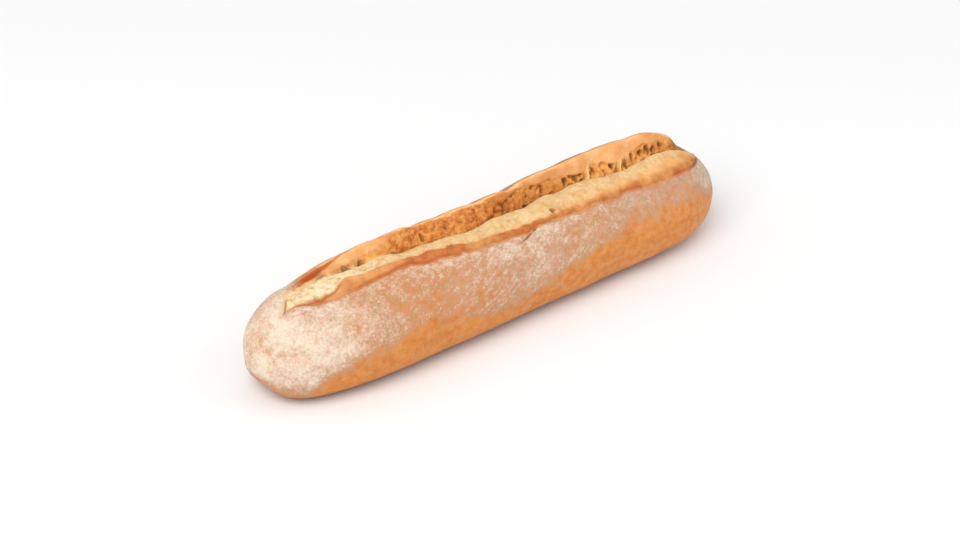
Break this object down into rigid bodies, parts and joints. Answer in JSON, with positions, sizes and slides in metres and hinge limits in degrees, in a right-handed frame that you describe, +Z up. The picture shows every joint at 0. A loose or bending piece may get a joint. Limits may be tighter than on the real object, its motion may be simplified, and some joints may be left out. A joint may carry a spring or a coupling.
{
  "type": "ciabatta loaf",
  "caption": "Long rounded ciabatta loaf with a flour-dusted crust, a torn lengthwise split along its top with one raised lip, and a flat base to rest on.",
  "frame": {"origin": "under the middle of the loaf, on the surface it stands on", "axes": "+X along the loaf, +Y across it towards the raised lip of the split, +Z up"},
  "size_m": [0.36, 0.0938, 0.0658],
  "materials": {
    "baked_crust": "matt golden-brown baked crust dusted with flour, paler and porous where the split is torn open"
  },
  "bodies": {
    "root": {"ciabatta_loaf": "baked_crust"}
  },
  "joints": []
}
